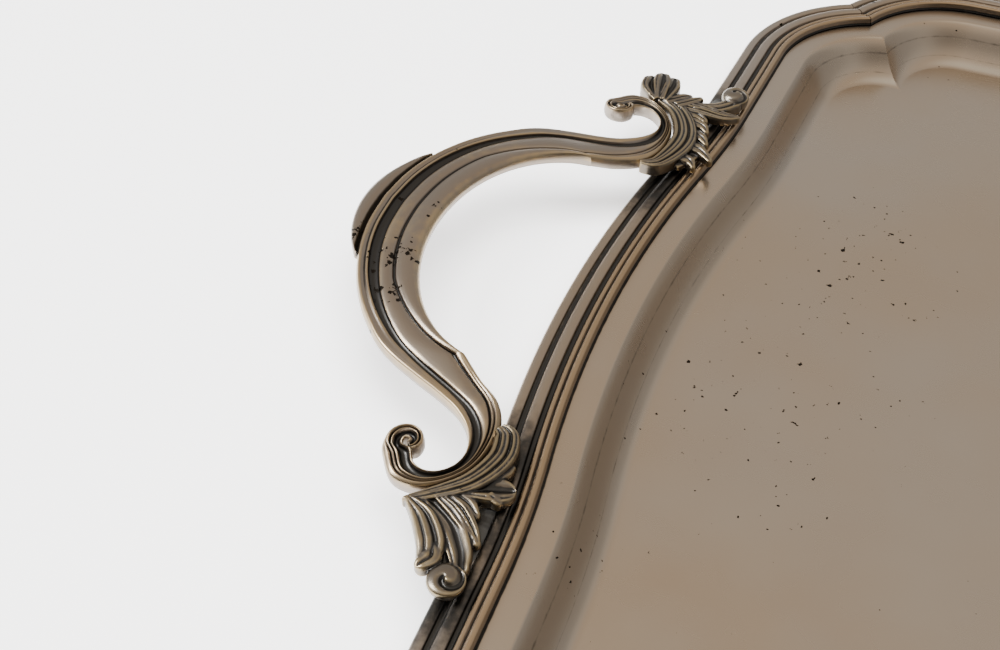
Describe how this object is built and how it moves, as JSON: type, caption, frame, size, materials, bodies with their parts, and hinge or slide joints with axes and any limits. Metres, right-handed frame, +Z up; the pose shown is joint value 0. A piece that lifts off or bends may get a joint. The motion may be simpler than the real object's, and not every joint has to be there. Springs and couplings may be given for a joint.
{
  "type": "salver",
  "caption": "Two-handled silver-plated salver with a sunk well, stepped reeded border with corner cusps, and cast scroll handles on acanthus leaf mounts.",
  "frame": {"origin": "centre of the underside of the well, on the table", "axes": "+X along the length, from the left handle to the right one; +Y across the tray, away from the viewer; +Z up"},
  "size_m": [0.6526, 0.382, 0.0244],
  "materials": {
    "plated_sheet": "worn silver plate over brass sheet, softly polished with fine scratches",
    "plated_moulding": "worn silver plate, black tarnish in the grooves and bare brass on the beads",
    "cast_handle": "silver-plated casting, tarnished in the reeds, pitted on the grip",
    "cast_leaf": "chased silver-plated casting, dark in the recesses, bare brass on the edges",
    "solder": "dull grey silver solder"
  },
  "bodies": {
    "root": {"tray_body": "plated_sheet", "left_end_moulding": "plated_moulding", "right_end_moulding": "plated_moulding", "near_side_moulding": "plated_moulding", "far_side_moulding": "plated_moulding", "left_handle_bow": "cast_handle", "right_handle_bow": "cast_handle", "left_near_leaf_mount": "cast_leaf", "left_far_leaf_mount": "cast_leaf", "right_near_leaf_mount": "cast_leaf", "right_far_leaf_mount": "cast_leaf", "left_near_solder_bed": "solder", "left_far_solder_bed": "solder", "right_near_solder_bed": "solder", "right_far_solder_bed": "solder"}
  },
  "joints": []
}
